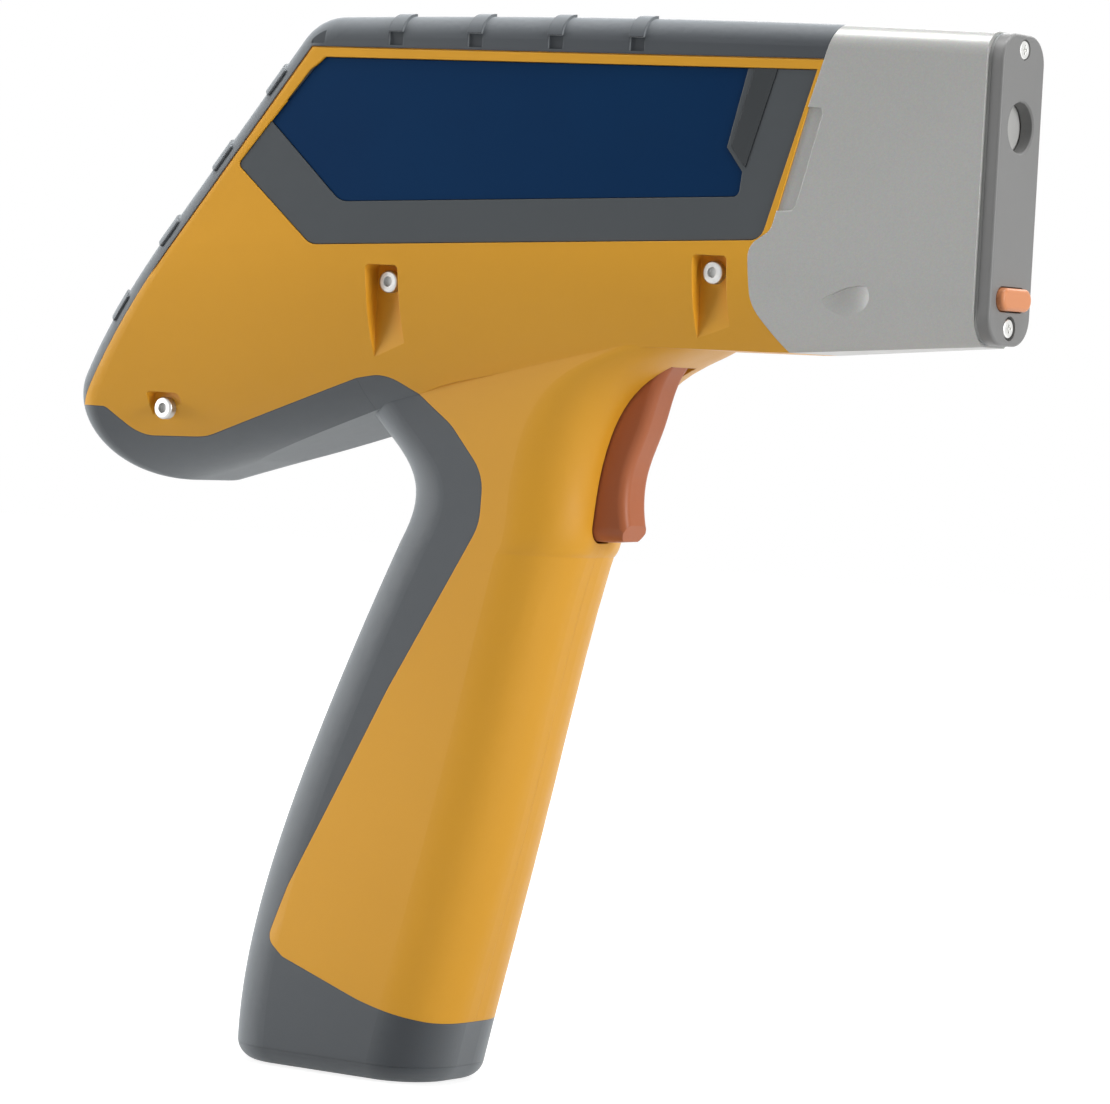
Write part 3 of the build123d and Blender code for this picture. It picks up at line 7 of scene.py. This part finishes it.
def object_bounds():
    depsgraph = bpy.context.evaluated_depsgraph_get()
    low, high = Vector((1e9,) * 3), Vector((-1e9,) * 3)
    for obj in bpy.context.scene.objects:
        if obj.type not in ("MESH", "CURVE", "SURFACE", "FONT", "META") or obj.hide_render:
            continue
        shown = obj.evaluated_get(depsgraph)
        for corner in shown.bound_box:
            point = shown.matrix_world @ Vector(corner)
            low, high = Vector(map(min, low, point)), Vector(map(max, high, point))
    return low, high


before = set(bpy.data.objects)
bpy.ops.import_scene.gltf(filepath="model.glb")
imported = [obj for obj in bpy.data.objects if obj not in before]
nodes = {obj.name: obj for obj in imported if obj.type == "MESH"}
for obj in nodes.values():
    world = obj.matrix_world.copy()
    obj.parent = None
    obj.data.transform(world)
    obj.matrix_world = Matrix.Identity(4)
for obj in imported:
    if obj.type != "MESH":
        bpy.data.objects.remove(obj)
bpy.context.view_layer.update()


# ---------------------------------------------------------------- node helpers
class Shader:
    """A node material built up one layer at a time."""

    def __init__(self, name):
        self.material = bpy.data.materials.new(name)
        self.material.use_nodes = True
        self.tree = self.material.node_tree
        self.tree.nodes.clear()
        self.output = self.add("ShaderNodeOutputMaterial")
        self.surface = self.add("ShaderNodeBsdfPrincipled")
        self.link(self.surface.outputs["BSDF"], self.output.inputs["Surface"])
        self.place = self.add("ShaderNodeTexCoord").outputs["Object"]

    def add(self, kind, **settings):
        node = self.tree.nodes.new(kind)
        for key, value in settings.items():
            setattr(node, key, value)
        return node

    def link(self, source, target):
        self.tree.links.new(source, target)

    def set(self, **values):
        for key, value in values.items():
            self.surface.inputs[key.replace("_", " ")].default_value = value

    def colour(self, source):
        self.link(source, self.surface.inputs["Base Color"])

    def rough(self, source, low, high):
        self.link(self.span(source, low, high), self.surface.inputs["Roughness"])

    def noise(self, scale, detail=3.0, roughness=0.5, stretch=(1.0, 1.0, 1.0)):
        mapping = self.add("ShaderNodeMapping")
        mapping.inputs["Scale"].default_value = stretch
        self.link(self.place, mapping.inputs["Vector"])
        node = self.add("ShaderNodeTexNoise")
        node.inputs["Scale"].default_value = scale
        node.inputs["Detail"].default_value = detail
        node.inputs["Roughness"].default_value = roughness
        self.link(mapping.outputs["Vector"], node.inputs["Vector"])
        return node.outputs["Fac"]

    def ramp(self, factor, *stops):
        node = self.add("ShaderNodeValToRGB")
        elements = node.color_ramp.elements
        while len(elements) < len(stops):
            elements.new(0.5)
        for element, (position, colour) in zip(elements, stops):
            element.position = position
            element.color = (*colour, 1.0)
        self.link(factor, node.inputs["Fac"])
        return node.outputs["Color"]

    def span(self, factor, low, high):
        node = self.add("ShaderNodeMapRange")
        node.inputs["To Min"].default_value = low
        node.inputs["To Max"].default_value = high
        self.link(factor, node.inputs["Value"])
        return node.outputs["Result"]

    def mix(self, factor, first, second, blend="MIX"):
        node = self.add("ShaderNodeMix", data_type="RGBA", blend_type=blend)
        factor_socket, first_socket, second_socket = node.inputs[0], node.inputs[6], node.inputs[7]
        for socket, value in (
            (factor_socket, factor),
            (first_socket, first),
            (second_socket, second),
        ):
            if isinstance(value, (int, float)):
                socket.default_value = value
            elif isinstance(value, tuple):
                socket.default_value = (*value, 1.0)
            else:
                self.link(value, socket)
        return node.outputs[2]

    def relief(self, height, strength, distance, bevel=0.0003):
        """Fine surface relief on top of slightly rounded edges."""
        edge = self.add("ShaderNodeBevel", samples=4)
        edge.inputs["Radius"].default_value = bevel
        bump = self.add("ShaderNodeBump")
        bump.inputs["Strength"].default_value = strength
        bump.inputs["Distance"].default_value = distance
        self.link(height, bump.inputs["Height"])
        self.link(edge.outputs["Normal"], bump.inputs["Normal"])
        self.link(bump.outputs["Normal"], self.surface.inputs["Normal"])


def moulded(name, dark, light, roughness=0.42, grain=0.12, gloss_level=0.35):
    """Injection moulded plastic: fine spark texture, slow colour drift, uneven gloss."""
    shader = Shader(name)
    drift = shader.noise(9.0, 2.0)
    shader.colour(shader.ramp(drift, (0.3, dark), (0.7, light)))
    shader.rough(shader.noise(240.0, 4.0), roughness - 0.05, roughness + 0.08)
    texture = shader.noise(2600.0, 2.0)
    shader.relief(texture, grain, 0.00006)
    shader.set(Specular_IOR_Level=gloss_level)
    return shader.material


def rubber(name, dark, light):
    """Soft overmould: matt, fine leathery grain, and a paler grey mixed into the colour at grazing
    angles, partly dust bloom and partly painted sheen.
    """
    shader = Shader(name)
    # Facing mask for painted sheen over a dust bloom: the colour turns paler grey towards grazing
    # angles.
    bloom_and_painted_sheen = shader.add("ShaderNodeLayerWeight")
    bloom_and_painted_sheen.inputs["Blend"].default_value = 0.35
    body = shader.ramp(shader.noise(14.0, 3.0), (0.3, dark), (0.7, light))
    shader.colour(shader.mix(bloom_and_painted_sheen.outputs["Facing"], body, (0.40, 0.43, 0.45)))
    shader.rough(shader.noise(300.0, 4.0), 0.5, 0.66)
    shader.relief(shader.noise(1900.0, 3.0, 0.6), 0.28, 0.00008, bevel=0.0005)
    shader.set(Specular_IOR_Level=0.3)
    return shader.material


def painted(name, dark, light, roughness=0.34):
    """Metallic paint: fine flake sparkle under a satin coat."""
    shader = Shader(name)
    flake = shader.add("ShaderNodeTexVoronoi")
    flake.inputs["Scale"].default_value = 3200.0
    shader.link(shader.place, flake.inputs["Vector"])
    body = shader.ramp(shader.noise(10.0, 2.0), (0.3, dark), (0.7, light))
    sparkle = shader.mix(0.10, body, flake.outputs["Color"], blend="SOFT_LIGHT")
    shader.colour(sparkle)
    shader.rough(shader.noise(260.0, 3.0), roughness - 0.04, roughness + 0.08)
    shader.relief(shader.noise(1400.0, 2.0), 0.05, 0.00005)
    shader.set(Metallic=0.25, Coat_Weight=0.15, Coat_Roughness=0.3)
    return shader.material


def metal(name, colour, roughness=0.3, stretch=(1.0, 1.0, 1.0), grain=0.15):
    """Bare metal with tool marks drawn out along one direction."""
    shader = Shader(name)
    marks = shader.noise(420.0, 5.0, 0.6, stretch)
    dark = tuple(value * 0.8 for value in colour)
    shader.colour(shader.ramp(marks, (0.25, dark), (0.75, colour)))
    shader.rough(marks, roughness - 0.08, roughness + 0.12)
    shader.relief(marks, grain, 0.00005, bevel=0.0002)
    shader.set(Metallic=1.0)
    return shader.material


def film(name, dark, light, roughness=0.3, gloss_level=0.4):
    """Printed film: even colour under a thin glossy layer with an orange-peel ripple."""
    shader = Shader(name)
    shader.colour(shader.ramp(shader.noise(22.0, 2.0), (0.3, dark), (0.7, light)))
    shader.rough(shader.noise(120.0, 3.0), roughness - 0.05, roughness + 0.07)
    shader.relief(shader.noise(900.0, 1.0), 0.04, 0.00005, bevel=0.0002)
    shader.set(Specular_IOR_Level=gloss_level)
    return shader.material


def window(name, tint, roughness):
    """Smoked window over a dark screen: dark, glossy, with faint smears."""
    shader = Shader(name)
    smear = shader.noise(30.0, 4.0, 0.6)
    smeared = tuple(value * 0.9 for value in tint)
    shader.colour(shader.ramp(smear, (0.2, smeared), (0.8, tint)))
    shader.rough(smear, roughness, roughness + 0.07)
    shader.relief(smear, 0.02, 0.00003, bevel=0.0002)
    shader.set(Specular_IOR_Level=0.4)
    return shader.material


def circuit(name):
    """Circuit board: solder mask with tracks and pads."""
    shader = Shader(name)
    brick = shader.add("ShaderNodeTexBrick")
    brick.inputs["Scale"].default_value = 330.0
    brick.inputs["Mortar Size"].default_value = 0.018
    brick.inputs["Color1"].default_value = (0.012, 0.085, 0.030, 1.0)
    brick.inputs["Color2"].default_value = (0.018, 0.110, 0.040, 1.0)
    brick.inputs["Mortar"].default_value = (0.05, 0.20, 0.08, 1.0)
    turned = shader.add("ShaderNodeMapping")
    turned.inputs["Rotation"].default_value = (radians(90), 0.0, 0.0)
    shader.link(shader.place, turned.inputs["Vector"])
    shader.link(turned.outputs["Vector"], brick.inputs["Vector"])
    shader.colour(brick.outputs["Color"])
    shader.relief(brick.outputs["Fac"], 0.2, 0.00003, bevel=0.0001)
    shader.set(Roughness=0.35)
    return shader.material


# ---------------------------------------------------------------- materials
yellow = moulded("yellow_housing", (0.76, 0.365, 0.024), (0.82, 0.40, 0.028), roughness=0.40)
grey_rubber = rubber("grey_rubber", (0.044, 0.050, 0.058), (0.053, 0.060, 0.068))
bezel_grey = moulded("bezel_grey", (0.064, 0.073, 0.080), (0.076, 0.085, 0.092), roughness=0.36)
label_blue = film(
    "label_blue",
    (0.0, 0.024, 0.084),
    (0.0, 0.028, 0.094),
    roughness=0.5,
    gloss_level=0.1,
)
silver = painted("silver_nose", (0.40, 0.402, 0.387), (0.44, 0.442, 0.428))
plate_metal = moulded(
    "plate_anodised",
    (0.20, 0.20, 0.198),
    (0.225, 0.225, 0.222),
    roughness=0.38,
    grain=0.2,
)
gasket_grey = rubber("gasket_grey", (0.28, 0.28, 0.27), (0.32, 0.32, 0.31))
window_grey = film("window_film", (0.45, 0.45, 0.44), (0.52, 0.52, 0.50), roughness=0.35)
pale_steel = metal("pale_steel", (0.86, 0.86, 0.84), roughness=0.32)
zinc_steel = metal("zinc_steel", (0.55, 0.55, 0.54), roughness=0.36)
smoke = film("smoked_lens", (0.030, 0.036, 0.040), (0.042, 0.048, 0.054), roughness=0.16)
panel_grey = moulded("panel_grey", (0.030, 0.033, 0.037), (0.040, 0.043, 0.047), roughness=0.36)
cover_glass = window("cover_glass", (0.016, 0.019, 0.022), roughness=0.12)
screen_dark = film("display_face", (0.006, 0.007, 0.009), (0.010, 0.011, 0.014), roughness=0.22)
key_rubber = rubber("key_rubber", (0.060, 0.064, 0.070), (0.075, 0.080, 0.086))
trigger_copper = moulded(
    "trigger_copper",
    (0.44, 0.125, 0.046),
    (0.50, 0.150, 0.056),
    roughness=0.40,
)
button_orange = moulded(
    "button_orange",
    (0.66, 0.250, 0.105),
    (0.72, 0.285, 0.125),
    roughness=0.36,
)
black = moulded("black_moulding", (0.012, 0.012, 0.013), (0.020, 0.020, 0.021), roughness=0.42)
battery_black = moulded(
    "battery_case",
    (0.018, 0.018, 0.020),
    (0.026, 0.026, 0.029),
    roughness=0.48,
)
cable_red = rubber("cable_red", (0.36, 0.020, 0.014), (0.42, 0.028, 0.018))
spring_steel = metal("spring_steel", (0.62, 0.62, 0.63), roughness=0.22, stretch=(1.0, 6.0, 1.0))
machined = metal("machined_aluminium", (0.72, 0.72, 0.73), roughness=0.30, stretch=(1.0, 1.0, 8.0))
turned_steel = metal("turned_steel", (0.60, 0.60, 0.62), roughness=0.24, stretch=(6.0, 1.0, 1.0))
board_green = circuit("board_green")

finishes = {
    "housing_right": yellow,
    "housing_left": yellow,
    "battery_cover": grey_rubber,
    "head_bumper": grey_rubber,
    "lobe_cover": grey_rubber,
    "grip_overmould": grey_rubber,
    "nose_shell": silver,
    "nose_plate": plate_metal,
    "nose_gasket": gasket_grey,
    "window_film": window_grey,
    "plate_screw_upper": pale_steel,
    "plate_screw_lower": pale_steel,
    "housing_screw_front": zinc_steel,
    "housing_screw_middle": zinc_steel,
    "housing_screw_rear": zinc_steel,
    "trigger_pin": zinc_steel,
    "side_bezel_right": bezel_grey,
    "side_bezel_left": bezel_grey,
    "side_label_right": label_blue,
    "side_label_left": label_blue,
    "indicator_lens_right": smoke,
    "indicator_lens_left": smoke,
    "control_panel": panel_grey,
    "display_glass": cover_glass,
    "display_module": screen_dark,
    "power_button": key_rubber,
    "enter_button": key_rubber,
    "nav_pad": key_rubber,
    "trigger": trigger_copper,
    "proximity_button": button_orange,
    "battery_pack": battery_black,
    "high_voltage_cable": cable_red,
    "proximity_spring": spring_steel,
    "trigger_spring": spring_steel,
    "nav_gimbal": spring_steel,
    "collimator_block": machined,
    "tube_clamp": machined,
    "internal_chassis": machined,
    "filter_wheel": machined,
    "xray_tube": turned_steel,
    "detector_module": turned_steel,
    "filter_motor": turned_steel,
    "display_board": board_green,
    "keypad_board": board_green,
    "main_board": board_green,
    "signal_board": board_green,
    "indicator_board_right": board_green,
    "indicator_board_left": board_green,
    "proximity_switch": black,
    "trigger_switch": black,
    "battery_contacts": black,
    "beeper": black,
    "high_voltage_supply": black,
}
for name, node in nodes.items():
    node.data.materials.clear()
    node.data.materials.append(finishes[name])


# ---------------------------------------------------------------- floor, backdrop and world
def seen_directly(tree):
    """1 for rays that the camera sees straight, mirrored or through glass, else 0."""
    path = tree.nodes.new("ShaderNodeLightPath")
    total = path.outputs["Is Camera Ray"]
    for ray in ("Is Glossy Ray", "Is Transmission Ray"):
        larger = tree.nodes.new("ShaderNodeMath")
        larger.operation = "MAXIMUM"
        tree.links.new(total, larger.inputs[0])
        tree.links.new(path.outputs[ray], larger.inputs[1])
        total = larger.outputs["Value"]
    return total


floor_gap = 0.0003
floor_size = 6.0
floor_grey = 0.42
floor_lift = 0.84
near_reach = 0.35
far_reach = 1.3


def white_to_camera(name, grey, lift):
    """Plain pale surface, lifted to white for the eye and darker only in the object's shadow.

    The lift grows from near_reach to far_reach, so that the floor meets the backdrop unseen.
    """
    material = bpy.data.materials.new(name)
    material.use_nodes = True
    tree = material.node_tree
    tree.nodes.clear()
    output = tree.nodes.new("ShaderNodeOutputMaterial")
    pale = tree.nodes.new("ShaderNodeBsdfDiffuse")
    pale.inputs["Color"].default_value = (grey, grey, grey, 1.0)
    place = tree.nodes.new("ShaderNodeNewGeometry")
    reach = tree.nodes.new("ShaderNodeVectorMath")
    reach.operation = "LENGTH"
    tree.links.new(place.outputs["Position"], reach.inputs[0])
    rise = tree.nodes.new("ShaderNodeMapRange")
    rise.inputs["From Min"].default_value = near_reach
    rise.inputs["From Max"].default_value = far_reach
    rise.inputs["To Min"].default_value = lift
    rise.inputs["To Max"].default_value = 1.0
    tree.links.new(reach.outputs["Value"], rise.inputs["Value"])
    glow = tree.nodes.new("ShaderNodeEmission")
    tree.links.new(rise.outputs["Result"], glow.inputs["Strength"])
    both = tree.nodes.new("ShaderNodeAddShader")
    tree.links.new(pale.outputs["BSDF"], both.inputs[0])
    tree.links.new(glow.outputs["Emission"], both.inputs[1])
    mix = tree.nodes.new("ShaderNodeMixShader")
    tree.links.new(seen_directly(tree), mix.inputs["Fac"])
    tree.links.new(pale.outputs["BSDF"], mix.inputs[1])
    tree.links.new(both.outputs["Shader"], mix.inputs[2])
    tree.links.new(mix.outputs["Shader"], output.inputs["Surface"])
    return material


def make_floor():
    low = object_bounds()[0]
    place = (low[0] / 2, 0.0, low[2] - floor_gap)
    bpy.ops.mesh.primitive_plane_add(size=floor_size, location=place)
    floor = bpy.context.object
    floor.name = "studio_floor"
    floor.data.materials.append(white_to_camera("studio_floor", floor_grey, floor_lift))


def make_world():
    """White where it is seen straight or mirrored, and a weak soft fill for everything else."""
    world = bpy.data.worlds.new("studio")
    bpy.context.scene.world = world
    world.use_nodes = True
    tree = world.node_tree
    tree.nodes.clear()
    output = tree.nodes.new("ShaderNodeOutputWorld")
    soft = tree.nodes.new("ShaderNodeBackground")
    soft.inputs["Color"].default_value = (0.93, 0.95, 1.0, 1.0)
    soft.inputs["Strength"].default_value = 0.09
    white = tree.nodes.new("ShaderNodeBackground")
    white.inputs["Color"].default_value = (1.0, 1.0, 1.0, 1.0)
    mix = tree.nodes.new("ShaderNodeMixShader")
    tree.links.new(seen_directly(tree), mix.inputs["Fac"])
    tree.links.new(soft.outputs["Background"], mix.inputs[1])
    tree.links.new(white.outputs["Background"], mix.inputs[2])
    tree.links.new(mix.outputs["Shader"], output.inputs["Surface"])


# ---------------------------------------------------------------- lights and camera
def aimed(location, target, up):
    """Pose that looks from a location to a target, with up towards the top of the picture."""
    forward = (Vector(target) - Vector(location)).normalized()
    right = forward.cross(Vector(up)).normalized()
    top = right.cross(forward)
    turn = Matrix((right, top, -forward)).transposed()
    return Matrix.Translation(location) @ turn.to_4x4()


def area_light(name, location, target, width, height, power, colour=(1.0, 1.0, 1.0)):
    light = bpy.data.lights.new(name, "AREA")
    light.shape = "RECTANGLE"
    light.size = width
    light.size_y = height
    light.energy = power
    light.color = colour
    lamp = bpy.data.objects.new(name, light)
    bpy.context.scene.collection.objects.link(lamp)
    lamp.matrix_world = aimed(location, target, (0.0, 0.0, 1.0))


# Viewing angle of the photograph: about 34 degrees forward of the right side, through a long lens.
camera_place = (0.5792, -1.0519, -0.0643)
camera_target = (-0.1288, 0.0, -0.1113)
camera_up = (-0.0663, 0.0, 0.9978)


def make_camera():
    camera = bpy.data.cameras.new("camera")
    camera.sensor_fit = "HORIZONTAL"
    camera.sensor_width = 36.0
    camera.lens = 160.0
    camera.clip_start = 0.05
    camera.clip_end = 20.0
    camera.dof.use_dof = False
    view = bpy.data.objects.new("camera", camera)
    bpy.context.scene.collection.objects.link(view)
    view.matrix_world = aimed(camera_place, camera_target, camera_up)
    bpy.context.scene.camera = view


middle = (-0.13, 0.0, -0.08)
make_camera()
make_floor()
make_world()
area_light("front", (1.5, -0.10, 0.1), middle, 0.5, 1.4, 25.0)
area_light("rear", (-0.80, -0.42, 0.10), middle, 0.3, 0.8, 4.8)
area_light("top", (-0.1, -0.06, 0.85), middle, 1.0, 0.4, 10.0)
area_light("left", (-0.35, 1.3, 0.7), middle, 1.2, 0.8, 9.0)
bpy.context.scene.view_settings.view_transform = "Standard"
